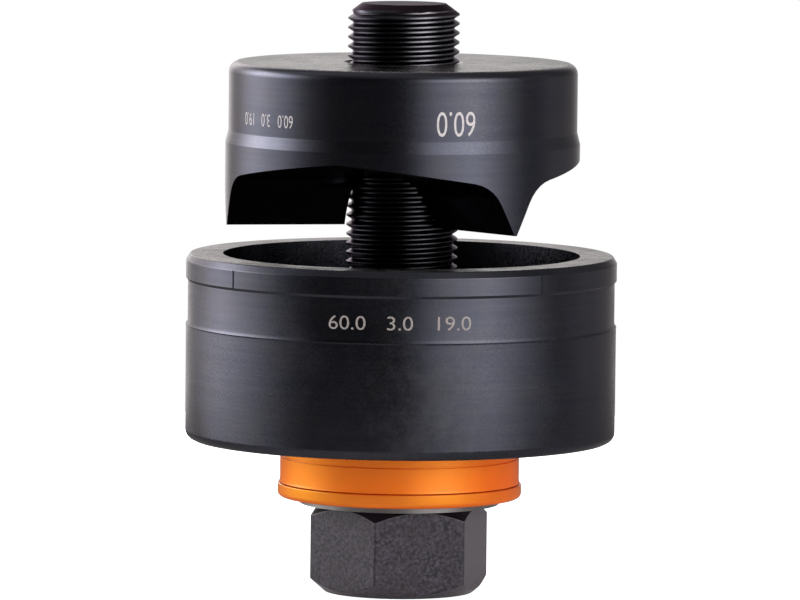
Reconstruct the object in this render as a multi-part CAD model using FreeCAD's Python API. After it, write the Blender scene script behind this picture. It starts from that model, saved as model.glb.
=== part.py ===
# Sheet metal hole punch for a 60 mm hole: punch, die, draw bolt and thrust bearing.
# Origin at the centre of the wrench face under the hex head, +Z up the bolt axis.
# Millimetres and degrees. Azimuth 0 is the front (-Y) and grows towards +X.
import FreeCAD, Part
import math
import os

# Hole and cutting edges
hole_d = 60.0              # finished hole, and the punch's cutting band
cutting_clearance = 0.25   # gap round the punch when it enters the die
sheet_gap = 5.1            # free height between the punch's tips and the die face

# Draw bolt
bolt_d = 18.9              # over the crests of its fine thread
bolt_end_chamfer_width = 2.3
bolt_end_chamfer_height = 1.7
bolt_above_punch = 9.95
hex_across_flats = 27.0
hex_height = 15.0
hex_top_inset = 0.5        # flats to the circle left on the head's upper face
hex_top_drop = 2.0         # height of the upper chamfer at the corners
hex_base_inset = 0.85      # flats to the circle left on the wrench face
hex_base_drop = 2.5        # height of the lower chamfer at the corners
hex_azimuth = -15.0        # direction of one corner

# Punch
punch_height = 27.5
punch_band_height = 13.9   # cutting band, from the tips to the relief
punch_relief = 0.5         # step in radius from the band to the upper body
punch_relief_height = 2.0
punch_top_chamfer = 1.0
punch_azimuth = -20.7      # apex of the front arch
punch_bolt_gap = 0.05      # running clearance of the bore on the bolt
punch_mouth = 0.6          # countersink at the top of the bore
punch_throat_step = 0.5    # wider lower end of the bore, above the tips
punch_throat_height = 7.0

# Arches between the punch's tips. Each side is one section, straight along the ridge of its tip.
tip_count = 3
tip_land_width = 0.42      # flat left on the ridge
flank_angle = 61.9         # steep shearing flank beside the ridge, above the horizontal
roof_angle = 9.3           # shallow roof above it
arch_corner_rise = 8.4     # height above the tips where flank and roof would meet
arch_corner_round = 7.0

# Die
die_wall = 6.25            # round the hole, at the top band
die_height = 31.5
die_floor = 8.5
die_land = 6.0             # straight cutting land below the die face
die_bore_relief = 0.5      # step in radius below the land
die_top_chamfer_width = 0.7
die_top_chamfer_height = 1.1
die_band_height = 4.06     # top band, from the die face
die_recess_height = 7.87   # shallow recessed band below it
die_recess_depth = 0.35
die_body_step = 0.05       # step in radius from the top band to the body
die_base_chamfer = 1.2
die_bolt_gap = 0.3
mark_count = 4             # engraved index marks on the top band
mark_azimuth = 39.8
mark_width = 0.4
mark_depth = 0.25

# Thrust bearing
race_bolt_gap = 0.2        # lower race round the bolt
lower_race_height = 3.0
lower_race_step = 0.6      # the lower race is this much smaller in radius than the upper one
race_shoulder_width = 0.4  # shoulder that the retaining ring holds
race_shoulder_height = 1.2
upper_race_bolt_gap = 1.05
upper_race_height = 2.9
race_width = 7.0           # upper race, bore to rim
race_margin = 1.0          # of that width beyond each end of a roller
roller_d = 4.0
roller_count = 12
roller_gap = 0.05          # between a roller and each race
cage_height = 2.6
cage_rim = 0.8             # round the pockets, inside and out
cage_roller_gap = 0.1

# Bearing housing and its retaining ring
housing_wall = 2.8         # round the upper race
housing_web = 0.8          # disc between the upper race and the die
housing_height = 7.2       # underside of the die to the seam above the ring
housing_race_gap = 0.1
spigot_wall = 1.4          # reduced end of the housing, inside the ring
spigot_gap = 0.05
ring_step = 0.3            # the ring stands out of the housing by this much
ring_seam = 0.1            # gap between housing and ring
ring_lip = 0.6             # lip under the lower race's shoulder
ring_race_gap = 0.2
ring_lip_gap = 0.1         # free height between the lip and the shoulder
ring_edge_chamfer = 0.6

# Levels up the bolt axis
head_face = hex_height
lower_race_top = head_face + lower_race_height
shoulder_bottom = lower_race_top - race_shoulder_height
roller_centre = lower_race_top + roller_gap + roller_d / 2
upper_race_bottom = roller_centre + roller_d / 2 + roller_gap
upper_race_top = upper_race_bottom + upper_race_height
die_bottom = upper_race_top + housing_web
die_top = die_bottom + die_height
punch_bottom = die_top + sheet_gap
punch_top = punch_bottom + punch_height
bolt_end = punch_top + bolt_above_punch
lip_top = shoulder_bottom - ring_lip_gap
ring_bottom = lip_top - ring_lip
housing_edge = die_bottom - housing_height

# Radii that several pieces share
bolt_r = bolt_d / 2
hex_corner_r = hex_across_flats / 2 / math.cos(math.radians(30))
hole_r = hole_d / 2
die_land_r = hole_r + cutting_clearance
die_r = die_land_r + die_wall
die_hole_r = bolt_r + die_bolt_gap
upper_race_bore_r = bolt_r + upper_race_bolt_gap
upper_race_r = upper_race_bore_r + race_width
lower_race_r = upper_race_r - lower_race_step
roller_circle_r = (upper_race_bore_r + upper_race_r) / 2
roller_length = race_width - 2 * race_margin
housing_bore_r = upper_race_r + housing_race_gap
spigot_r = housing_bore_r + spigot_wall
housing_r = housing_bore_r + housing_wall

CENTRE = FreeCAD.Vector(0, 0, 0)
UP = FreeCAD.Vector(0, 0, 1)


def place(radius, azimuth, level):
    """Point at a radius and azimuth round the bolt axis."""
    angle = math.radians(azimuth)
    return FreeCAD.Vector(radius * math.sin(angle), -radius * math.cos(angle), level)


def turned(*corners):
    """Solid turned about the bolt axis from its corners, each as (radius, level)."""
    points = [FreeCAD.Vector(radius, 0, level) for radius, level in corners]
    outline = Part.makePolygon(points + points[:1])
    return Part.Face(outline).revolve(CENTRE, UP, 360)


def hex_prism():
    """Hexagonal bar as long as the head is high."""
    corners = [place(hex_corner_r, hex_azimuth + 60 * turn, 0) for turn in range(7)]
    return Part.Face(Part.makePolygon(corners)).extrude(UP * hex_height)


def draw_bolt():
    """Bolt with a chamfered hex head, its end chamfered to start in the punch."""
    base_r = hex_across_flats / 2 - hex_base_inset
    top_r = hex_across_flats / 2 - hex_top_inset
    beyond_r = 2 * hex_corner_r - base_r
    base_rise = hex_base_drop * (beyond_r - base_r) / (hex_corner_r - base_r)
    top_fall = hex_top_drop * (beyond_r - top_r) / (hex_corner_r - top_r)
    chamfers = turned((0, 0), (base_r, 0), (beyond_r, base_rise),
                      (beyond_r, hex_height - top_fall), (top_r, hex_height), (0, hex_height))
    shank = turned((0, hex_height / 2), (bolt_r, hex_height / 2),
                   (bolt_r, bolt_end - bolt_end_chamfer_height),
                   (bolt_r - bolt_end_chamfer_width, bolt_end), (0, bolt_end))
    return hex_prism().common(chamfers).fuse(shank).removeSplitter()


def flank_side(tip_azimuth, side):
    """Space beside one tip: flank, rounded corner and roof in section, drawn out along its ridge."""
    flank = math.radians(flank_angle)
    roof = math.radians(roof_angle)
    half_turn = (flank - roof) / 2
    tangent = arch_corner_round * math.tan(half_turn)
    inset = arch_corner_round / math.cos(half_turn) - arch_corner_round
    corner_across = tip_land_width / 2 + arch_corner_rise / math.tan(flank)
    reach = hole_d

    def from_corner(distance, angle):
        across = corner_across + distance * math.cos(angle)
        rise = arch_corner_rise + distance * math.sin(angle)
        return FreeCAD.Vector(side * across, 0, punch_bottom + rise)
    ridge_edge = from_corner(-arch_corner_rise / math.sin(flank), flank)
    flank_end = from_corner(-tangent, flank)
    bend = from_corner(inset, (flank + roof - math.pi) / 2)
    roof_start = from_corner(tangent, roof)
    roof_end = from_corner(reach, roof)
    below = ridge_edge - UP * (sheet_gap / 2)
    far_below = FreeCAD.Vector(roof_end.x, 0, below.z)
    edges = Part.makePolygon([roof_start, roof_end, far_below, below, ridge_edge, flank_end]).Edges
    edges.append(Part.Arc(flank_end, bend, roof_start).toShape())
    space = Part.Face(Part.Wire(edges)).extrude(FreeCAD.Vector(0, 2 * reach, 0))
    space.translate(FreeCAD.Vector(0, -reach, 0))
    space.rotate(CENTRE, UP, tip_azimuth)
    return space


def arch_space(azimuth):
    """Space under one arch, where the sides that belong to its two tips overlap."""
    half_spread = 180 / tip_count
    return flank_side(azimuth - half_spread, 1).common(flank_side(azimuth + half_spread, -1))


def punch():
    """Cutter with three shearing tips, bored for the bolt and stepped back above its cutting band."""
    body_r = hole_r - punch_relief
    bore_r = bolt_r + punch_bolt_gap
    throat_r = bore_r + punch_throat_step
    throat_top = punch_bottom + punch_throat_height
    relief_bottom = punch_bottom + punch_band_height
    body = turned((throat_r, punch_bottom), (hole_r, punch_bottom), (hole_r, relief_bottom),
                  (body_r, relief_bottom + punch_relief_height), (body_r, punch_top - punch_top_chamfer),
                  (body_r - punch_top_chamfer, punch_top), (bore_r + punch_mouth, punch_top),
                  (bore_r, punch_top - punch_mouth), (bore_r, throat_top), (throat_r, throat_top))
    for index in range(tip_count):
        body = body.cut(arch_space(punch_azimuth + index * 360 / tip_count))
    return body


def index_mark(azimuth):
    """Bar that engraves one mark across the die's top band."""
    depth_r = die_r - mark_depth
    bar = Part.makeBox(mark_depth * 4, mark_width, die_band_height - die_top_chamfer_height)
    bar.translate(FreeCAD.Vector(depth_r, -mark_width / 2, die_top - die_band_height))
    bar.rotate(CENTRE, UP, azimuth - 90)
    return bar


def die():
    """Cup that the punch shears into, open at the top and bored for the bolt."""
    recess_r = die_r - die_recess_depth
    body_r = die_r - die_body_step
    relief_r = die_land_r + die_bore_relief
    floor = die_bottom + die_floor
    land_bottom = die_top - die_land
    band_bottom = die_top - die_band_height
    recess_bottom = band_bottom - die_recess_height
    body = turned((die_hole_r, die_bottom), (body_r - die_base_chamfer, die_bottom),
                  (body_r, die_bottom + die_base_chamfer), (body_r, recess_bottom),
                  (recess_r, recess_bottom + body_r - recess_r), (recess_r, band_bottom - die_recess_depth),
                  (die_r, band_bottom), (die_r, die_top - die_top_chamfer_height),
                  (die_r - die_top_chamfer_width, die_top), (die_land_r, die_top), (die_land_r, land_bottom),
                  (relief_r, land_bottom - die_bore_relief), (relief_r, floor), (die_hole_r, floor))
    for index in range(mark_count):
        body = body.cut(index_mark(mark_azimuth + index * 360 / mark_count))
    return body


def lower_race():
    """Race that stands on the hex head, with a shoulder for the retaining ring."""
    shoulder_r = lower_race_r + race_shoulder_width
    bore_r = bolt_r + race_bolt_gap
    return turned((bore_r, head_face), (lower_race_r, head_face), (lower_race_r, shoulder_bottom),
                  (shoulder_r, shoulder_bottom), (shoulder_r, lower_race_top), (bore_r, lower_race_top))


def upper_race():
    """Race that carries the housing and the die."""
    return turned((upper_race_bore_r, upper_race_bottom), (upper_race_r, upper_race_bottom),
                  (upper_race_r, upper_race_top), (upper_race_bore_r, upper_race_top))


def roller(index):
    """One roller, its axis radial."""
    azimuth = index * 360 / roller_count
    inner_end = place(roller_circle_r - roller_length / 2, azimuth, roller_centre)
    return Part.makeCylinder(roller_d / 2, roller_length, inner_end, place(1, azimuth, 0))


def roller_cage():
    """Flat ring with a pocket for each roller."""
    pocket_length = roller_length + 2 * cage_roller_gap
    pocket_width = roller_d + 2 * cage_roller_gap
    half_width = pocket_length / 2 + cage_rim
    inner_r = roller_circle_r - half_width
    outer_r = roller_circle_r + half_width
    bottom = roller_centre - cage_height / 2
    top = roller_centre + cage_height / 2
    cage = turned((inner_r, bottom), (outer_r, bottom), (outer_r, top), (inner_r, top))
    for index in range(roller_count):
        pocket = Part.makeBox(pocket_width, pocket_length, cage_height)
        pocket.translate(FreeCAD.Vector(-pocket_width / 2, -roller_circle_r - pocket_length / 2, bottom))
        pocket.rotate(CENTRE, UP, index * 360 / roller_count)
        cage = cage.cut(pocket)
    return cage


def bearing_housing():
    """Cap over the bearing. Its web carries the die and its spigot holds the retaining ring."""
    return turned((die_hole_r, upper_race_top), (housing_bore_r, upper_race_top), (housing_bore_r, lip_top),
                  (spigot_r, lip_top), (spigot_r, housing_edge), (housing_r, housing_edge),
                  (housing_r, die_bottom), (die_hole_r, die_bottom))


def retaining_ring():
    """Ring on the housing's spigot, with a lip that keeps the bearing together."""
    lip_r = lower_race_r + ring_race_gap
    socket_r = spigot_r + spigot_gap
    ring_top = housing_edge - ring_seam
    outer_r = housing_r + ring_step
    return turned((lip_r, ring_bottom), (outer_r - ring_edge_chamfer, ring_bottom),
                  (outer_r, ring_bottom + ring_edge_chamfer), (outer_r, ring_top),
                  (socket_r, ring_top), (socket_r, lip_top), (lip_r, lip_top))


def pieces():
    """Every separate piece by its name."""
    named = {
        "draw_bolt": draw_bolt(),
        "punch": punch(),
        "die": die(),
        "bearing_housing": bearing_housing(),
        "retaining_ring": retaining_ring(),
        "upper_race": upper_race(),
        "lower_race": lower_race(),
        "roller_cage": roller_cage(),
    }
    for index in range(roller_count):
        named[f"roller_{index + 1:02d}"] = roller(index)
    return named


os.makedirs("parts", exist_ok=True)
for name, shape in pieces().items():
    shape.exportStep(f"parts/{name}.step")
    print(name, len(shape.Solids), shape.isValid(), round(shape.Volume, 1))
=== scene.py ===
# Looks of a sheet metal hole punch, dressed round its CAD frame.
# Sizes are in millimetres and degrees, and become metres where a mesh is made.
# Azimuth 0 is the front (-Y) and grows towards +X.
import bpy
import bmesh
import math
from mathutils import Euler, Matrix, Vector


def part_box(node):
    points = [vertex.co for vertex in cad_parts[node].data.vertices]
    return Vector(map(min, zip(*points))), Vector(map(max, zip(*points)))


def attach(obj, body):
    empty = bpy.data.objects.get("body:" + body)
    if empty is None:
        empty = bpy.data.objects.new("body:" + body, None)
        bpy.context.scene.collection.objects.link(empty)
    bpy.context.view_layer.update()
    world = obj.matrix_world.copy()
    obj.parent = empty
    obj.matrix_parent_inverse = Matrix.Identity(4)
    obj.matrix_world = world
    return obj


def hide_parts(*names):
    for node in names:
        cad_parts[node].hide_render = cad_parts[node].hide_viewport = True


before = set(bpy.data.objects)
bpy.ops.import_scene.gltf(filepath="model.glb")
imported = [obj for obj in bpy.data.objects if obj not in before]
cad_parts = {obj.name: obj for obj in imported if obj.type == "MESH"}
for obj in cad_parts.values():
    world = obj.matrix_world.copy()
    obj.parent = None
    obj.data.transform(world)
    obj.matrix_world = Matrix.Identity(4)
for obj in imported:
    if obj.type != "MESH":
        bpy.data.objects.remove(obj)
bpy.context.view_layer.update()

MM = 0.001
SEGMENTS = 288         # round a turned piece
ROUND_STEPS = 5        # along one rounded edge
SHARP_ANGLE = 32.0     # edges above this stay sharp


def span(node):
    """Lowest and highest level of a CAD node."""
    low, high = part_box(node)
    return low.z / MM, high.z / MM


def reach(node):
    """Largest radius of a round CAD node."""
    low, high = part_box(node)
    return (high.x - low.x) / 2 / MM


# Levels and radii taken from the frame
die_bottom, die_top = span("die")
punch_bottom, punch_top = span("punch")
head_bottom, bolt_end = span("draw_bolt")
ring_bottom, ring_top = span("retaining_ring")
lip_top, housing_top = span("bearing_housing")
head_top = span("lower_race")[0]
upper_race_top = span("upper_race")[1]
die_r = reach("die")
hole_r = reach("punch")
housing_r = reach("bearing_housing")
ring_r = reach("retaining_ring")
housing_bore_r = reach("upper_race") + 0.1
lip_r = reach("lower_race") - 0.2

# Draw bolt
bolt_r = 9.45
bolt_end_r = 7.15             # flat part of the chamfered end
bolt_end_chamfer = 1.7
thread_pitch = 1.5875
thread_depth = 0.86
thread_phase = 0.85          # level of a crest at the front
thread_bottom = 45.3         # the thread runs out here
thread_runout = 2.4
thread_columns = 96
arch_shade_top = 70.0             # the thread is painted darker below this, as shade inside the die and the punch's arches
arch_shade_fade = 9.0             # height over which that painted shade fades out
hex_across_flats = 27.0
hex_azimuth = -15.0
hex_corner_round = 0.5
hex_top_circle_r = 13.0
hex_top_drop = 2.0
hex_base_circle_r = 12.65
hex_base_drop = 2.5

# Punch
punch_body_r = hole_r - 0.5
punch_band_top = punch_bottom + 13.9
punch_cone_height = 2.0
punch_top_round = 1.75
punch_bore_r = 9.6
punch_mouth_r = 10.1
punch_throat_r = 9.85
punch_throat_top = punch_bottom + 7.0
punch_thread_bottom = punch_bottom + 9.3   # above the arches' inner ends
thread_gap = 0.05            # between the punch's thread and the bolt's
sleeve_r = 9.8               # back of the punch's thread, inside the metal
tip_count = 3
front_arch = -20.7
tip_land = 0.42
flank_angle = 61.9
roof_angle = 9.3
corner_rise = 8.4
corner_round = 7.0

# Die
die_hole_r = bolt_r + 0.3
die_land_r = hole_r + 0.25
die_relief_r = die_land_r + 0.5
die_land = 6.0
die_floor = die_bottom + 8.5
die_chamfer_width = 0.7
die_chamfer_height = 1.1
die_band_bottom = die_top - 4.06
die_recess_bottom = die_band_bottom - 7.87
die_recess_r = die_r - 0.35
die_body_r = die_r - 0.05
die_base_round = 1.65
mark_count = 4
mark_azimuth = 39.8
mark_width = 0.36
mark_depth = 0.15
patch_r = 18.0               # scuffed patch on the die
patch_azimuth = 4.0
patch_level = 35.0
recess_lip_width = 0.22      # sloping lip along the recess, which catches the light
recess_lip_height = 0.62

# Bearing housing and ring
housing_edge = ring_top + 0.1
spigot_r = ring_r - 1.7
groove_level = 23.0
groove_height = 0.3
groove_depth = 0.35
foot_width = 0.1             # the cap's foot flares by this
foot_height = 0.6
ring_base_round = 0.8
ring_top_round = 0.22

# Rows of figures, as (text, radius, azimuth, level, height, width)
die_figures = ("60.0   3.0   19.0", die_recess_r, -0.3, die_top - 8.55, 2.3, 24.0)
punch_size = ("60.0", punch_body_r, 17.5, die_top + 24.0, 4.1, 6.7)
punch_figures = ("60.0   3.0   19.0", punch_body_r, -51.0, die_top + 23.7, 2.1, 12.9)
figure_height = 0.012         # by which they stand out
figure_root = 0.1             # and reach into the metal
stroke_change = -0.004        # thins the font's strokes

# Colours
oxide_dark = (0.080, 0.083, 0.109)
oxide_light = (0.096, 0.098, 0.125)
oxide_brown = (0.118, 0.106, 0.104)
oxide_speckle = (0.200, 0.195, 0.215)
oxide_rubbed = (0.122, 0.122, 0.145)
top_clean = (0.098, 0.092, 0.094)
top_stained = (0.070, 0.063, 0.061)
oxide_rim_tint = (0.87, 0.82, 0.81)
thread_dark = (0.045, 0.044, 0.053)
thread_light = (0.058, 0.056, 0.066)
# painted highlight on the thread's crests and roots
thread_painted_glint = (0.300, 0.290, 0.320)
# painted shade low on the thread
thread_painted_shade = (0.018, 0.017, 0.021)
thread_rim_tint = (0.60, 0.55, 0.59)
bolt_end_brown = (0.040, 0.028, 0.034)
phosphate_dark = (0.003, 0.002, 0.004)
phosphate_light = (0.053, 0.043, 0.062)
phosphate_cloud = (0.024, 0.018, 0.021)
# painted shade along the head's rounded edges, and painted highlight on edges turned upward
phosphate_painted_edge_shade = (0.004, 0.002, 0.004)
phosphate_painted_rim_highlight = (0.130, 0.115, 0.120)
phosphate_sheen = (1.0, 0.90, 0.96)
# painted shade of the head's top chamfer under the bearing
chamfer_shade_dark = (0.006, 0.004, 0.006)
chamfer_shade_light = (0.014, 0.010, 0.013)
cage_dark = (0.62, 0.56, 0.44)
cage_light = (0.70, 0.65, 0.54)
# Each as (dark, light) and, for the orange pieces, the tint of their gloss
cap_orange = ((0.84, 0.066, 0.009), (0.90, 0.076, 0.010), (0.98, 0.43, 0.03))
ring_orange = ((0.68, 0.042, 0.010), (0.74, 0.050, 0.011), (0.94, 0.52, 0.03))
die_ink = ((0.150, 0.128, 0.122), (0.265, 0.235, 0.228))
punch_ink = ((0.26, 0.235, 0.235), (0.48, 0.44, 0.445))


def at(radius, azimuth, level):
    """Point in metres."""
    angle = math.radians(azimuth)
    return Vector((radius * math.sin(angle), -radius * math.cos(angle), level)) * MM


def rounded(corners):
    """Closed outline through corners given as (x, y) or (x, y, round)."""
    outline = []
    for index, (x, y, *fillet) in enumerate(corners):
        corner = Vector((x, y))
        if not fillet:
            outline.append(corner)
            continue
        back = (Vector(corners[index - 1][:2]) - corner).normalized()
        ahead = (Vector(corners[(index + 1) % len(corners)][:2]) - corner).normalized()
        half = back.angle(ahead) / 2
        centre = corner + (back + ahead).normalized() * fillet[0] / math.sin(half)
        start = corner + back * fillet[0] / math.tan(half) - centre
        turn = start.angle_signed(corner + ahead * fillet[0] / math.tan(half) - centre)
        for step in range(ROUND_STEPS + 1):
            outline.append(centre + Matrix.Rotation(-turn * step / ROUND_STEPS, 2) @ start)
    return outline


def mesh_from(bm, name):
    """Clean mesh with its normals outwards."""
    bmesh.ops.remove_doubles(bm, verts=bm.verts, dist=1e-7)
    bmesh.ops.dissolve_degenerate(bm, dist=1e-8, edges=bm.edges)
    bmesh.ops.recalc_face_normals(bm, faces=bm.faces)
    mesh = bpy.data.meshes.new(name)
    bm.to_mesh(mesh)
    bm.free()
    return mesh


def loft(name, rings, closed=True):
    """Mesh through rings of points. A closed one joins its last ring to the first."""
    bm = bmesh.new()
    loops = [[bm.verts.new(point) for point in ring] for ring in rings]
    for index in range(len(loops) if closed else len(loops) - 1):
        here = loops[index]
        there = loops[(index + 1) % len(loops)]
        for step in range(len(here)):
            after = (step + 1) % len(here)
            bm.faces.new((here[step], here[after], there[after], there[step]))
    if not closed:
        bm.faces.new(loops[0])
        bm.faces.new(loops[-1])
    return mesh_from(bm, name)


def turned(name, corners):
    """Solid turned about the bolt axis from corners given as (radius, level) or with a round."""
    outline = rounded(corners)
    angles = [360 * turn / SEGMENTS for turn in range(SEGMENTS)]
    return loft(name, [[at(x, angle, y) for x, y in outline] for angle in angles])


def carve(mesh, cutter, operation="DIFFERENCE"):
    """The mesh with a cutter taken away, or what the two share."""
    pair = [bpy.data.objects.new(part.name, part) for part in (mesh, cutter)]
    for part in pair:
        bpy.context.scene.collection.objects.link(part)
    boolean = pair[0].modifiers.new("carve", "BOOLEAN")
    boolean.operation = operation
    boolean.solver = "EXACT"
    boolean.object = pair[1]
    depsgraph = bpy.context.evaluated_depsgraph_get()
    result = bpy.data.meshes.new_from_object(pair[0].evaluated_get(depsgraph))
    result.name = mesh.name
    for part in pair:
        bpy.data.objects.remove(part)
    return result


def piece(mesh, body, slot, material, *nodes):
    """Object that rides on a body and stands for the nodes."""
    item = bpy.data.objects.new(mesh.name, mesh)
    bpy.context.scene.collection.objects.link(item)
    mesh.materials.clear()
    mesh.materials.append(material)
    mesh.shade_smooth()
    mesh.set_sharp_from_angle(angle=math.radians(SHARP_ANGLE))
    weighted = item.modifiers.new("weighted_normals", "WEIGHTED_NORMAL")
    weighted.keep_sharp = True
    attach(item, body)
    if nodes:
        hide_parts(*nodes)
    return item


# Thread, whose rows of points follow the helix
def thread_outline():
    """One pitch of the thread as (share of the pitch, share of the depth)."""
    crest = 0.08
    root = 0.075
    return [(-crest - 0.045, 0.13), (-crest, 0.02), (0.0, 0.0), (crest, 0.02), (crest + 0.045, 0.13),
            (0.5 - root - 0.035, 0.9), (0.5 - root, 0.985), (0.5, 1.0), (0.5 + root, 0.985),
            (0.5 + root + 0.035, 0.9)]


def thread_rings(bottom, top, shape):
    """Rings of points up the helix. The shape gives radius and level from level and depth."""
    outline = thread_outline()
    first = math.floor((bottom - thread_phase) / thread_pitch) - 2
    last = math.ceil((top - thread_phase) / thread_pitch) + 1
    columns = []
    for column in range(thread_columns + 1):
        azimuth = 360 * column / thread_columns
        line = []
        for turn in range(first, last):
            for share, depth in outline:
                level = thread_phase + thread_pitch * (turn + share + azimuth / 360)
                radius, held = shape(level, depth * thread_depth)
                line.append(at(radius, azimuth, held))
        columns.append(line)
    return columns


def helix_surface(columns):
    """Open tube through the thread's columns, the last of which lies on the first."""
    bm = bmesh.new()
    lines = [[bm.verts.new(point) for point in line] for line in columns]
    for here, there in zip(lines, lines[1:]):
        for step in range(len(here) - 1):
            bm.faces.new((here[step], there[step], there[step + 1], here[step + 1]))
    bmesh.ops.remove_doubles(bm, verts=bm.verts, dist=1e-6)
    bmesh.ops.dissolve_degenerate(bm, dist=1e-8, edges=bm.edges)
    return bm


def eased(value):
    """Smooth step from 0 to 1."""
    held = min(max(value, 0.0), 1.0)
    return held * held * (3 - 2 * held)


def bolt_shank():
    """Threaded shank, its root fading out low down and its end chamfered."""
    slope = (bolt_r - bolt_end_r) / bolt_end_chamfer

    def shape(level, depth):
        """Radius and level of a point that the thread cuts by a depth."""
        if level <= thread_bottom - thread_runout:
            return bolt_r, head_top - 1
        if level >= bolt_end:
            return bolt_end_r, bolt_end
        deep = bolt_r - depth * eased((level - thread_bottom) / thread_runout)
        return min(deep, bolt_end_r + (bolt_end - level) * slope), level

    bm = helix_surface(thread_rings(thread_bottom - 2 * thread_runout, bolt_end, shape))
    bmesh.ops.holes_fill(bm, edges=[edge for edge in bm.edges if edge.is_boundary])
    return mesh_from(bm, "bolt_shank")


def punch_thread():
    """Thread cut in the punch, which follows the bolt's with a small gap."""
    top = punch_top - (punch_mouth_r - punch_bore_r)

    def shape(level, depth):
        """Radius and level of a point that the thread leaves standing by a depth."""
        if level <= punch_thread_bottom:
            return sleeve_r, punch_thread_bottom
        if level >= top:
            return sleeve_r, top
        edge = min(level - punch_thread_bottom, top - level)
        return max(bolt_r - depth + thread_gap, bolt_r + thread_gap - edge), level

    bm = helix_surface(thread_rings(punch_thread_bottom, top, shape))
    bmesh.ops.bridge_loops(bm, edges=[edge for edge in bm.edges if edge.is_boundary])
    return mesh_from(bm, "punch_thread")


def bolt_head():
    """Hexagon chamfered by cones at both ends, its upright corners slightly rounded."""
    corner_r = hex_across_flats / 2 / math.cos(math.radians(30))
    beyond_r = corner_r + 2
    spots = [at(corner_r, hex_azimuth + 60 * turn, 0) / MM for turn in range(6)]
    outline = rounded([(spot.x, spot.y, hex_corner_round) for spot in spots])
    ends = [[Vector((x, y, level)) * MM for x, y in outline] for level in (head_bottom, head_top)]
    base_rise = hex_base_drop * (beyond_r - hex_base_circle_r) / (corner_r - hex_base_circle_r)
    top_fall = hex_top_drop * (beyond_r - hex_top_circle_r) / (corner_r - hex_top_circle_r)
    cones = turned("head_cones", [(0, head_bottom - 1), (hex_base_circle_r, head_bottom - 1),
                                  (hex_base_circle_r, head_bottom), (beyond_r, head_bottom + base_rise),
                                  (beyond_r, head_top - top_fall), (hex_top_circle_r, head_top),
                                  (hex_top_circle_r, head_top + 1), (0, head_top + 1)])
    return carve(loft("bolt_head", ends, closed=False), cones, "INTERSECT")


def flank_prism(tip_azimuth, side):
    """Space beside one tip, drawn out along its ridge."""
    flank = math.radians(flank_angle)
    across = tip_land / 2 + corner_rise / math.tan(flank)
    far = hole_r * 2
    roof_end = across + far
    far_rise = corner_rise + far * math.tan(math.radians(roof_angle))
    section = rounded([(tip_land / 2, -2), (tip_land / 2, 0), (across, corner_rise, corner_round),
                       (roof_end, far_rise), (roof_end, -2)])
    turn = Matrix.Rotation(math.radians(tip_azimuth), 3, "Z")
    ends = [[turn @ Vector((side * x, end, punch_bottom + y)) * MM for x, y in section]
            for end in (-far, far)]
    return loft("flank", ends, closed=False)


def punch_body():
    """Cutter with its three arches."""
    body = turned("punch_body", [
        (punch_throat_r, punch_bottom), (hole_r, punch_bottom), (hole_r, punch_band_top, 0.3),
        (punch_body_r, punch_band_top + punch_cone_height, 0.3), (punch_body_r, punch_top, punch_top_round),
        (punch_mouth_r, punch_top, 0.1), (punch_bore_r, punch_top - (punch_mouth_r - punch_bore_r)),
        (punch_bore_r, punch_throat_top), (punch_throat_r, punch_throat_top)])
    half_spread = 180 / tip_count
    for index in range(tip_count):
        azimuth = front_arch + index * 360 / tip_count
        arch = carve(flank_prism(azimuth - half_spread, 1), flank_prism(azimuth + half_spread, -1),
                     "INTERSECT")
        body = carve(body, arch)
    return body


def index_mark(azimuth):
    """V-shaped bar that engraves one index mark."""
    beyond = 1.0
    half = math.degrees(mark_width / 2 * (mark_depth + beyond) / mark_depth / die_r)
    ends = [[at(die_r - mark_depth, azimuth, level), at(die_r + beyond, azimuth + half, level),
             at(die_r + beyond, azimuth - half, level)]
            for level in (die_band_bottom, die_top - die_chamfer_height)]
    return loft("mark", ends, closed=False)


def die_body():
    """Cup with its bands, each with a small broken edge."""
    body = turned("die_body", [
        (die_hole_r, die_bottom), (die_body_r, die_bottom, die_base_round),
        (die_body_r, die_recess_bottom - 0.3), (die_body_r + 0.05, die_recess_bottom),
        (die_recess_r + recess_lip_width, die_recess_bottom + 0.02),
        (die_recess_r, die_recess_bottom + recess_lip_height),
        (die_recess_r, die_band_bottom - 0.42, 0.08), (die_r, die_band_bottom, 0.08),
        (die_r, die_top - die_chamfer_height, 0.3), (die_r - die_chamfer_width, die_top, 0.3),
        (die_land_r, die_top, 0.05), (die_land_r, die_top - die_land),
        (die_relief_r, die_top - die_land - 0.5), (die_relief_r, die_floor, 0.8),
        (die_hole_r, die_floor, 0.2)])
    for index in range(mark_count):
        body = carve(body, index_mark(mark_azimuth + index * 360 / mark_count))
    return body


def housing():
    """Cap over the bearing, with a narrow groove below the die and a slightly flared foot."""
    half = groove_height / 2
    wall_r = housing_r - foot_width
    return turned("housing_cap", [
        (die_hole_r, upper_race_top), (housing_bore_r, upper_race_top), (housing_bore_r, lip_top),
        (spigot_r, lip_top), (spigot_r, housing_edge), (housing_r, housing_edge, 0.04),
        (wall_r, housing_edge + foot_height), (wall_r, groove_level - half, 0.05),
        (wall_r - groove_depth, groove_level - half), (wall_r - groove_depth, groove_level + half),
        (wall_r, groove_level + half, 0.05), (wall_r, housing_top), (die_hole_r, housing_top)])


def ring():
    """Retaining ring with rounded edges."""
    return turned("ring_band", [
        (lip_r, ring_bottom), (ring_r, ring_bottom, ring_base_round), (ring_r, ring_top, ring_top_round),
        (spigot_r + 0.05, ring_top), (spigot_r + 0.05, lip_top), (lip_r, lip_top)])


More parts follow.
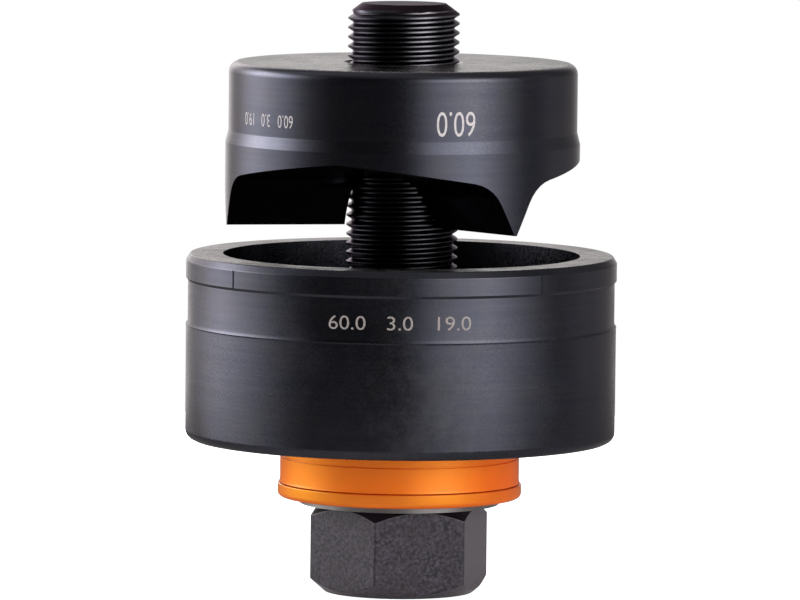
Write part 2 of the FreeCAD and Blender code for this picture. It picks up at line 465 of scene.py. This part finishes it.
def numbers(name, row, turned_over=False):
    """Row of figures etched on a round wall, as a thin solid."""
    text, radius, azimuth, level, height, width = row
    curve = bpy.data.curves.new(name, "FONT")
    curve.body = text
    curve.extrude = 1.0
    curve.offset = stroke_change
    writing = bpy.data.objects.new(name, curve)
    bpy.context.scene.collection.objects.link(writing)
    depsgraph = bpy.context.evaluated_depsgraph_get()
    mesh = bpy.data.meshes.new_from_object(writing.evaluated_get(depsgraph))
    bpy.data.objects.remove(writing)
    mesh.name = name
    xs = [vertex.co.x for vertex in mesh.vertices]
    ys = [vertex.co.y for vertex in mesh.vertices]
    flip = -1 if turned_over else 1
    for vertex in mesh.vertices:
        across = flip * ((vertex.co.x - min(xs)) / (max(xs) - min(xs)) - 0.5) * width
        up = flip * ((vertex.co.y - min(ys)) / (max(ys) - min(ys)) - 0.5) * height
        depth = figure_height if vertex.co.z > 0 else -figure_root
        vertex.co = at(radius + depth, azimuth + math.degrees(across / radius), level + up)
    return mesh


# Materials, whose noises are scaled per metre
groove_drift = 40.0           # change of the lathe lines along their length


def new_material(name):
    """Empty node material with its tree and main shader."""
    material = bpy.data.materials.new(name)
    material.use_nodes = True
    return material, material.node_tree, material.node_tree.nodes["Principled BSDF"]


def add(tree, kind, inputs=(), **settings):
    """Node with its settings and inputs, which are values or sockets to link from."""
    node = tree.nodes.new(kind)
    for key, value in settings.items():
        setattr(node, key, value)
    for key, value in dict(inputs).items():
        if isinstance(value, bpy.types.NodeSocket):
            tree.links.new(value, node.inputs[key])
        else:
            node.inputs[key].default_value = value
    return node


def product(tree, first, second):
    """Two values multiplied."""
    return add(tree, "ShaderNodeMath", {0: first, 1: second}, operation="MULTIPLY").outputs[0]


def total(tree, first, second):
    """Two values added."""
    return add(tree, "ShaderNodeMath", {0: first, 1: second}, operation="ADD").outputs[0]


def place_on(tree):
    """The point's three coordinates on its piece, and its distance from the bolt axis, in metres."""
    place = add(tree, "ShaderNodeTexCoord").outputs["Object"]
    parts = add(tree, "ShaderNodeSeparateXYZ", {0: place}).outputs
    across = add(tree, "ShaderNodeCombineXYZ", {0: parts[0], 1: parts[1]}).outputs[0]
    radius = add(tree, "ShaderNodeVectorMath", {0: across}, operation="LENGTH").outputs["Value"]
    return parts, radius


def turning_grooves(tree, scale):
    """Fine lathe lines: rings on faces and lines round walls, from one noise."""
    parts, radius = place_on(tree)
    fine = product(tree, total(tree, radius, parts[2]), scale)
    slow_x = product(tree, parts[0], groove_drift)
    slow_y = product(tree, parts[1], groove_drift)
    spread = add(tree, "ShaderNodeCombineXYZ", {0: slow_x, 1: slow_y, 2: fine}).outputs[0]
    return add(tree, "ShaderNodeTexNoise", {"Vector": spread, "Scale": 1.0, "Detail": 3.0,
                                            "Roughness": 0.6}).outputs["Fac"]


def noise(tree, scale, detail=4.0, roughness=0.6):
    """Even noise over the piece."""
    place = add(tree, "ShaderNodeTexCoord").outputs["Object"]
    return add(tree, "ShaderNodeTexNoise", {"Vector": place, "Scale": scale, "Detail": detail,
                                            "Roughness": roughness}).outputs["Fac"]


def remap(tree, value, low, high, new_low, new_high):
    """Value moved from one range to another, held at its ends."""
    return add(tree, "ShaderNodeMapRange", {"Value": value, 1: low, 2: high, 3: new_low,
                                            4: new_high}).outputs["Result"]


def blend_colors(tree, factor, first, second):
    """Colour between two, by a factor."""
    mix = add(tree, "ShaderNodeMix", data_type="RGBA")
    tree.links.new(factor, mix.inputs[0])
    for socket, value in ((mix.inputs[6], first), (mix.inputs[7], second)):
        if isinstance(value, bpy.types.NodeSocket):
            tree.links.new(value, socket)
        else:
            socket.default_value = (*value, 1)
    return mix.outputs[2]


def upward(tree, low=0.9, high=0.99):
    """1 on faces that look up, else 0, between two heights of their normal."""
    normal = add(tree, "ShaderNodeNewGeometry").outputs["True Normal"]
    level = add(tree, "ShaderNodeSeparateXYZ", {0: normal}).outputs[2]
    return remap(tree, level, low, high, 0.0, 1.0)


def spot_on(tree, place, radius):
    """1 at a place on the piece, fading to 0 at a radius, both in metres."""
    here = add(tree, "ShaderNodeTexCoord").outputs["Object"]
    away = add(tree, "ShaderNodeVectorMath", {0: here, 1: place}, operation="DISTANCE").outputs["Value"]
    return remap(tree, away, radius * 0.3, radius, 1.0, 0.0)


def black_oxide(name, roughness=0.2, line_size=2600.0, line_depth=3e-6, brown=0.25, scuffs=0.0, patch=None):
    """Blackened steel: dark, bluish and satin, with lathe lines, grain, faint clouds and dull scuffs.

    Faces that look up are stained. The wall round patch, a point in metres, is rubbed.
    """
    material, tree, shader = new_material(name)
    clouds = remap(tree, noise(tree, 170.0), 0.42, 0.68, 0.0, brown)
    streaks = remap(tree, turning_grooves(tree, 1100.0), 0.32, 0.68, 0.0, 1.0)
    plain = blend_colors(tree, streaks, oxide_dark, oxide_light)
    clouded = blend_colors(tree, clouds, plain, oxide_brown)
    wear_and_glint = remap(tree, noise(tree, 60.0, 3.0, 0.55), 0.44, 0.64, 0.0, 1.0)
    grain = remap(tree, noise(tree, 3800.0, 2.0), 0.52, 0.78, 0.0, 0.5)
    wall = blend_colors(tree, product(tree, grain, wear_and_glint), clouded, oxide_speckle)
    spots = remap(tree, noise(tree, 2400.0, 2.0), 0.3, 0.75, roughness - 0.05, roughness + 0.08)
    dull = total(tree, spots, product(tree, wear_and_glint, scuffs))
    if patch:
        scratches = remap(tree, noise(tree, 460.0, 6.0, 0.75), 0.38, 0.66, 0.0, 1.0)
        rubbed = product(tree, spot_on(tree, patch, patch_r * MM), scratches)
        wall = blend_colors(tree, rubbed, wall, oxide_rubbed)
        dull = total(tree, dull, product(tree, rubbed, 0.09))
    flat = upward(tree)
    mottle = remap(tree, noise(tree, 95.0, 6.0, 0.68), 0.42, 0.62, 0.0, 1.0)
    stained = product(tree, flat, mottle)
    colour = blend_colors(tree, flat, wall, blend_colors(tree, mottle, top_clean, top_stained))
    lines = add(tree, "ShaderNodeBump", {"Strength": 1.0, "Distance": line_depth,
                                         "Height": turning_grooves(tree, line_size)}).outputs[0]
    waves = product(tree, flat, noise(tree, 300.0, 4.0, 0.6))
    bump = add(tree, "ShaderNodeBump", {"Strength": 1.0, "Distance": 4e-4, "Height": waves, "Normal": lines})
    tree.links.new(colour, shader.inputs["Base Color"])
    tree.links.new(total(tree, dull, product(tree, stained, 0.10)), shader.inputs["Roughness"])
    tree.links.new(bump.outputs[0], shader.inputs["Normal"])
    tree.links.new(remap(tree, stained, 0.0, 1.0, 1.0, 0.45), shader.inputs["Metallic"])
    shader.inputs["Specular Tint"].default_value = (*oxide_rim_tint, 1)
    return material


def bolt_black(name):
    """Blackened thread: painted highlight on crests and roots on one side, painted shade low down in the die
    and arches, brown at its end.
    """
    material, tree, shader = new_material(name)
    clouds = remap(tree, noise(tree, 500.0), 0.35, 0.7, 0.0, 1.0)
    plain = blend_colors(tree, clouds, thread_dark, thread_light)
    parts, radius = place_on(tree)
    height = parts[2]
    root_r = bolt_r - thread_depth
    # Painted highlight: crests and roots are lightened on the +X side, standing in for glints of light from
    # that side
    crest = remap(tree, radius, (bolt_r - 0.3) * MM, (bolt_r - 0.05) * MM, 0.0, 1.0)
    root = remap(tree, radius, (root_r + 0.05) * MM, (root_r + 0.25) * MM, 1.0, 0.0)
    side = remap(tree, parts[0], -3.0 * MM, 4.0 * MM, 0.05, 1.0)
    wear_and_glint = product(tree, total(tree, product(tree, crest, 0.75), root), side)
    thread_with_glints = blend_colors(tree, wear_and_glint, plain, thread_painted_glint)
    # Painted shade: the thread is darkened low down, as shade inside the die and the punch's arches
    arch_shade = remap(tree, height, arch_shade_top * MM, (arch_shade_top + arch_shade_fade) * MM, 0.75, 0.0)
    thread = blend_colors(tree, arch_shade, thread_with_glints, thread_painted_shade)
    chamfer_foot = bolt_end - bolt_end_chamfer
    chamfered = remap(tree, height, (chamfer_foot - 0.1) * MM, chamfer_foot * MM, 0.0, 1.0)
    end = product(tree, chamfered, upward(tree, 0.6, 0.75))
    colour = blend_colors(tree, end, thread, bolt_end_brown)
    spots = remap(tree, noise(tree, 2600.0, 2.0), 0.3, 0.75, 0.18, 0.30)
    bump = add(tree, "ShaderNodeBump", {"Strength": 1.0, "Distance": 3e-6, "Height": noise(tree, 3400.0)})
    tree.links.new(colour, shader.inputs["Base Color"])
    tree.links.new(total(tree, spots, product(tree, end, 0.20)), shader.inputs["Roughness"])
    tree.links.new(bump.outputs[0], shader.inputs["Normal"])
    shader.inputs["Metallic"].default_value = 1.0
    shader.inputs["Specular Tint"].default_value = (*thread_rim_tint, 1)
    return material


def phosphate(name):
    """Phosphated forging: matte dark grey with a fine crystal speckle, painted shade along its rounded edges
    and painted highlight on edges that turn upward.
    """
    material, tree, shader = new_material(name)
    speckle = remap(tree, noise(tree, 1900.0, 3.0, 0.7), 0.38, 0.66, 0.0, 1.0)
    clouds = remap(tree, noise(tree, 260.0), 0.4, 0.65, 0.0, 0.4)
    grain = blend_colors(tree, speckle, phosphate_dark, phosphate_light)
    clouded = blend_colors(tree, clouds, grain, phosphate_cloud)
    normal = add(tree, "ShaderNodeNewGeometry").outputs["True Normal"]
    soft = add(tree, "ShaderNodeBevel", {"Radius": 0.3 * MM}, samples=8).outputs[0]
    level = add(tree, "ShaderNodeSeparateXYZ", {0: normal}).outputs[2]
    soft_level = add(tree, "ShaderNodeSeparateXYZ", {0: soft}).outputs[2]
    rise = add(tree, "ShaderNodeMath", {0: soft_level, 1: level}, operation="SUBTRACT").outputs[0]
    turn = add(tree, "ShaderNodeVectorMath", {0: soft, 1: normal}, operation="DISTANCE").outputs["Value"]
    # Painted shade along the rounded edges, and painted highlight where their rounding turns upward
    edge_shaded = blend_colors(tree, remap(tree, turn, 0.2, 0.45, 0.0, 0.6), clouded, phosphate_painted_edge_shade)
    colour = blend_colors(tree, remap(tree, rise, 0.08, 0.25, 0.0, 0.6), edge_shaded, phosphate_painted_rim_highlight)
    bump = add(tree, "ShaderNodeBump", {"Strength": 0.6, "Distance": 2e-5, "Normal": soft,
                                        "Height": noise(tree, 2100.0, 3.0, 0.7)})
    tree.links.new(colour, shader.inputs["Base Color"])
    tree.links.new(bump.outputs[0], shader.inputs["Normal"])
    shader.inputs["Roughness"].default_value = 0.42
    shader.inputs["Metallic"].default_value = 0.1
    shader.inputs["Sheen Weight"].default_value = 0.2
    shader.inputs["Sheen Roughness"].default_value = 0.45
    shader.inputs["Sheen Tint"].default_value = (*phosphate_sheen, 1)
    return material


def shaded_chamfer(name):
    """Steel of the head's top chamfer, painted dark as the shade under the bearing."""
    material, tree, shader = new_material(name)
    streaks = remap(tree, turning_grooves(tree, 1500.0), 0.35, 0.65, 0.0, 1.0)
    colour = blend_colors(tree, streaks, chamfer_shade_dark, chamfer_shade_light)
    bump = add(tree, "ShaderNodeBump", {"Strength": 0.6, "Distance": 1e-5, "Height": noise(tree, 2100.0)})
    tree.links.new(colour, shader.inputs["Base Color"])
    tree.links.new(bump.outputs[0], shader.inputs["Normal"])
    shader.inputs["Roughness"].default_value = 0.35
    shader.inputs["Specular IOR Level"].default_value = 0.25
    return material


def anodised(name, dark, light, gloss_tint):
    """Orange anodised aluminium: red-orange base with a yellower gloss and fine lathe lines."""
    material, tree, shader = new_material(name)
    clouds = remap(tree, noise(tree, 220.0), 0.4, 0.65, 0.0, 1.0)
    colour = blend_colors(tree, clouds, dark, light)
    bump = add(tree, "ShaderNodeBump", {"Strength": 1.0, "Distance": 2.5e-6,
                                        "Height": turning_grooves(tree, 3000.0)})
    tree.links.new(colour, shader.inputs["Base Color"])
    tree.links.new(bump.outputs[0], shader.inputs["Normal"])
    shader.inputs["Roughness"].default_value = 0.42
    shader.inputs["IOR"].default_value = 6.0
    shader.inputs["Specular Tint"].default_value = (*gloss_tint, 1)
    shader.inputs["Coat Weight"].default_value = 0.8
    shader.inputs["Coat IOR"].default_value = 1.4
    shader.inputs["Coat Roughness"].default_value = 0.12
    return material


def bright_steel(name, level, roughness):
    """Ground steel of the races and rollers."""
    material, tree, shader = new_material(name)
    clouds = remap(tree, noise(tree, 400.0), 0.4, 0.65, 0.0, 1.0)
    colour = blend_colors(tree, clouds, (level, level * 0.95, level * 0.93),
                          (level * 0.85, level * 0.80, level * 0.79))
    bump = add(tree, "ShaderNodeBump", {"Strength": 1.0, "Distance": 2e-6,
                                        "Height": turning_grooves(tree, 3400.0)})
    tree.links.new(colour, shader.inputs["Base Color"])
    tree.links.new(bump.outputs[0], shader.inputs["Normal"])
    shader.inputs["Metallic"].default_value = 1.0
    shader.inputs["Roughness"].default_value = roughness
    return material


def cage_plastic(name):
    """Pale moulded plastic of the roller cage."""
    material, tree, shader = new_material(name)
    clouds = remap(tree, noise(tree, 500.0), 0.35, 0.7, 0.0, 1.0)
    colour = blend_colors(tree, clouds, cage_dark, cage_light)
    bump = add(tree, "ShaderNodeBump", {"Strength": 0.4, "Distance": 1e-5, "Height": noise(tree, 3000.0)})
    tree.links.new(colour, shader.inputs["Base Color"])
    tree.links.new(bump.outputs[0], shader.inputs["Normal"])
    shader.inputs["Roughness"].default_value = 0.5
    return material


def etched(name, dark, light):
    """Laser-marked metal of the figures."""
    material, tree, shader = new_material(name)
    burn = remap(tree, noise(tree, 5200.0, 3.0, 0.7), 0.35, 0.7, 0.0, 1.0)
    colour = blend_colors(tree, burn, dark, light)
    tree.links.new(colour, shader.inputs["Base Color"])
    shader.inputs["Roughness"].default_value = 0.6
    shader.inputs["Metallic"].default_value = 0.2
    return material


def dress_nodes():
    """Materials for the bearing's CAD nodes, which keep their shapes."""
    steel = bright_steel("race_steel", 0.46, 0.3)
    rollers = bright_steel("roller_steel", 0.6, 0.16)
    dressed = {"upper_race": steel, "lower_race": steel, "roller_cage": cage_plastic("cage_plastic")}
    for node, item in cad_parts.items():
        material = dressed.get(node, rollers if node.startswith("roller_") else None)
        if material:
            item.data.materials.clear()
            item.data.materials.append(material)


def dress_head():
    """Bolt head, its top chamfer painted dark as the shade under the bearing."""
    head = bolt_head()
    piece(head, "bolt", "phosphated_steel", phosphate("head_phosphate"), "draw_bolt")
    # the top chamfer's faces take the painted-shade material
    head.materials.append(shaded_chamfer("head_shaded_chamfer"))
    for face in head.polygons:
        face.material_index = 1 if 0.15 < face.normal.z < 0.95 else 0


def dress_object():
    """Every new piece on its body."""
    patch = at(die_r, patch_azimuth, patch_level)
    steel = black_oxide("punch_black")
    die_steel = black_oxide("die_black", brown=0.3, scuffs=0.10, patch=patch)
    thread_steel = black_oxide("thread_black", 0.24, 2200.0, 1.5e-6, 0.2)
    bolt_steel = bolt_black("bolt_black")
    cap_metal = anodised("orange_cap", *cap_orange)
    ring_metal = anodised("orange_ring", *ring_orange)
    die_mark = etched("etched_die", *die_ink)
    punch_mark = etched("etched_punch", *punch_ink)
    piece(punch_body(), "punch", "black_oxide_punch", steel, "punch")
    piece(punch_thread(), "punch", "black_oxide_punch", thread_steel)
    piece(die_body(), "die", "black_oxide_die", die_steel, "die")
    dress_head()
    piece(bolt_shank(), "bolt", "phosphated_steel", bolt_steel)
    piece(housing(), "bearing", "orange_anodised", cap_metal, "bearing_housing")
    piece(ring(), "bearing", "orange_anodised_ring", ring_metal, "retaining_ring")
    piece(numbers("die_figures", die_figures), "die", "black_oxide_die", die_mark)
    piece(numbers("punch_size", punch_size, True), "punch", "black_oxide_punch", punch_mark)
    piece(numbers("punch_figures", punch_figures, True), "punch", "black_oxide_punch", punch_mark)


# Studio
camera_place = (-0.0002, -1.4285, 0.1755)
camera_pitch = 5.041
camera_roll = 0.571
camera_lens = 380.8
floor_r = 0.3                 # in metres
floor_drop = 5e-5             # keeps the floor clear of the head's base, in metres
floor_grey = 0.85
floor_near = 0.22             # reflected close to the object
floor_far = 0.10              # reflected near its edge
floor_glow = 0.75             # added for the camera, which keeps the floor pale
overhead = 0.2                # soft light straight above
plain_light = 1.05            # even light on rough surfaces
lamp_distance = 700
lamp_height = 60
lamp_size = 0.35              # in metres

# Brightness of the studio round the horizon, as (azimuth, brightness)
studio_walls = [(-180, 0.72), (-165, 1.2), (-150, 0.55), (-141, 0.65), (-134, 0.95), (-125, 1.7), (-115, 2.2),
                (-107, 2.0), (-98, 1.55), (-88, 1.12), (-80, 0.78), (-73, 0.45), (-63, 0.17), (-48, 0.055),
                (-10, 0.05), (0, 0.08), (6, 0.17), (12, 0.45), (19, 0.85), (33, 1.3), (47, 1.7), (54, 1.4),
                (62, 1.0), (70, 0.62), (78, 0.38), (86, 0.18), (96, 0.17), (106, 0.23), (114, 0.3),
                (124, 0.27), (150, 0.25), (180, 0.72)]
# Share of it that is left with height, as (sine of elevation, share)
studio_fade = [(-0.1, 1.0), (0.45, 1.0), (0.6, 0.55), (0.7, 0.25), (0.85, 0.12), (1.0, 0.06)]
# Where the walls' upper part is, as (sine of elevation, share), and its brightness, as (azimuth, factor)
upper_part = [(-0.08, 0.0), (0.1, 0.45), (0.24, 1.0), (0.36, 0.9), (0.5, 0.7), (0.6, 0.0)]
upper_gain = [(-180, 1.6), (-150, 2.2), (-120, 2.9), (-88, 2.9), (-72, 1.8), (-60, 1.2), (-45, 0.6), (0, 0.8),
              (22, 1.8), (65, 1.8), (85, 1.2), (100, 1.0), (130, 0.5), (160, 0.6), (180, 1.6)]


def curve_of(tree, value, points):
    """Value read from straight runs between points given as (place, level)."""
    first, last = points[0][0], points[-1][0]
    highest = max(level for _, level in points)
    ramp = add(tree, "ShaderNodeValToRGB", {0: remap(tree, value, first, last, 0.0, 1.0)})
    stops = ramp.color_ramp.elements
    stops.remove(stops[1])
    for index, (place, level) in enumerate(points):
        spot = (place - first) / (last - first)
        stop = stops[0] if index == 0 else stops.new(spot)
        stop.position = spot
        stop.color = (*[level / highest] * 3, 1)
    return product(tree, ramp.outputs[0], highest)


def make_world():
    """White for the camera. Soft boxes round the horizon for reflections and light."""
    world = bpy.data.worlds.new("studio")
    bpy.context.scene.world = world
    world.use_nodes = True
    tree = world.node_tree
    tree.nodes.clear()
    place = add(tree, "ShaderNodeTexCoord").outputs["Generated"]
    parts = add(tree, "ShaderNodeSeparateXYZ", {0: place}).outputs
    forward = product(tree, parts[1], -1.0)
    angle = add(tree, "ShaderNodeMath", {0: parts[0], 1: forward}, operation="ARCTAN2").outputs[0]
    azimuth = product(tree, angle, math.degrees(1))
    walls = curve_of(tree, azimuth, studio_walls)
    fade = curve_of(tree, parts[2], studio_fade)
    lift = add(tree, "ShaderNodeMix", {0: curve_of(tree, parts[2], upper_part), 2: 1.0,
                                       3: curve_of(tree, azimuth, upper_gain)}).outputs[0]
    ceiling = remap(tree, parts[2], 0.55, 0.9, 0.0, overhead)
    glow = total(tree, product(tree, walls, product(tree, fade, lift)), ceiling)
    path = add(tree, "ShaderNodeLightPath").outputs
    level = total(tree, glow, product(tree, path["Is Diffuse Ray"], plain_light))
    light = add(tree, "ShaderNodeBackground", {"Color": (1, 1, 1, 1), "Strength": level}).outputs[0]
    white = add(tree, "ShaderNodeBackground", {"Color": (1, 1, 1, 1), "Strength": 1.0}).outputs[0]
    mix = add(tree, "ShaderNodeMixShader", {0: path["Is Camera Ray"], 1: light, 2: white})
    output = add(tree, "ShaderNodeOutputWorld")
    tree.links.new(mix.outputs[0], output.inputs["Surface"])


def make_floor():
    """Pale round floor that keeps a faint shadow."""
    bm = bmesh.new()
    bmesh.ops.create_circle(bm, cap_ends=True, segments=128, radius=floor_r)
    mesh = mesh_from(bm, "floor")
    floor = bpy.data.objects.new("floor", mesh)
    floor.location.z = -floor_drop
    bpy.context.scene.collection.objects.link(floor)
    material = bpy.data.materials.new("pale_floor")
    material.use_nodes = True
    tree = material.node_tree
    tree.nodes.clear()
    path = add(tree, "ShaderNodeLightPath").outputs
    matte = add(tree, "ShaderNodeBsdfDiffuse")
    spot = add(tree, "ShaderNodeTexCoord").outputs["Object"]
    distance = add(tree, "ShaderNodeVectorMath", {0: spot}, operation="LENGTH").outputs["Value"]
    reflected = remap(tree, distance, 0.03, 0.18, floor_near, floor_far)
    shade = add(tree, "ShaderNodeMix", {0: path["Is Glossy Ray"], 2: floor_grey, 3: reflected}).outputs[0]
    tree.links.new(shade, matte.inputs["Color"])
    glow = add(tree, "ShaderNodeEmission", {"Strength": product(tree, path["Is Camera Ray"], floor_glow)})
    both = add(tree, "ShaderNodeAddShader", {0: matte.outputs[0], 1: glow.outputs[0]})
    output = add(tree, "ShaderNodeOutputMaterial")
    tree.links.new(both.outputs[0], output.inputs["Surface"])
    mesh.materials.append(material)


def make_camera():
    """Camera at the photograph's viewing angle."""
    data = bpy.data.cameras.new("camera")
    data.lens = camera_lens
    data.clip_end = 20
    camera = bpy.data.objects.new("camera", data)
    bpy.context.scene.collection.objects.link(camera)
    pitch = Euler((math.radians(90 - camera_pitch), 0, 0)).to_matrix().to_4x4()
    roll = Matrix.Rotation(math.radians(camera_roll), 4, "Z")
    camera.matrix_world = Matrix.Translation(camera_place) @ pitch @ roll
    bpy.context.scene.camera = camera


def make_lamp(name, azimuth, watts):
    """Soft lamp that lights rough surfaces from one side and isn't seen in reflections."""
    data = bpy.data.lights.new(name, "AREA")
    data.size = lamp_size
    data.energy = watts
    lamp = bpy.data.objects.new(name, data)
    bpy.context.scene.collection.objects.link(lamp)
    lamp.location = at(lamp_distance, azimuth, lamp_height)
    aim = at(0, 0, (die_bottom + head_top) / 2) - lamp.location
    lamp.rotation_euler = aim.to_track_quat("-Z", "Y").to_euler()
    lamp.visible_glossy = False
    lamp.visible_camera = False


dress_nodes()
dress_object()
make_world()
make_lamp("left_lamp", azimuth=-88, watts=2.0)
make_lamp("right_lamp", azimuth=42, watts=3.8)
make_floor()
make_camera()
bpy.context.scene.view_settings.view_transform = "Standard"
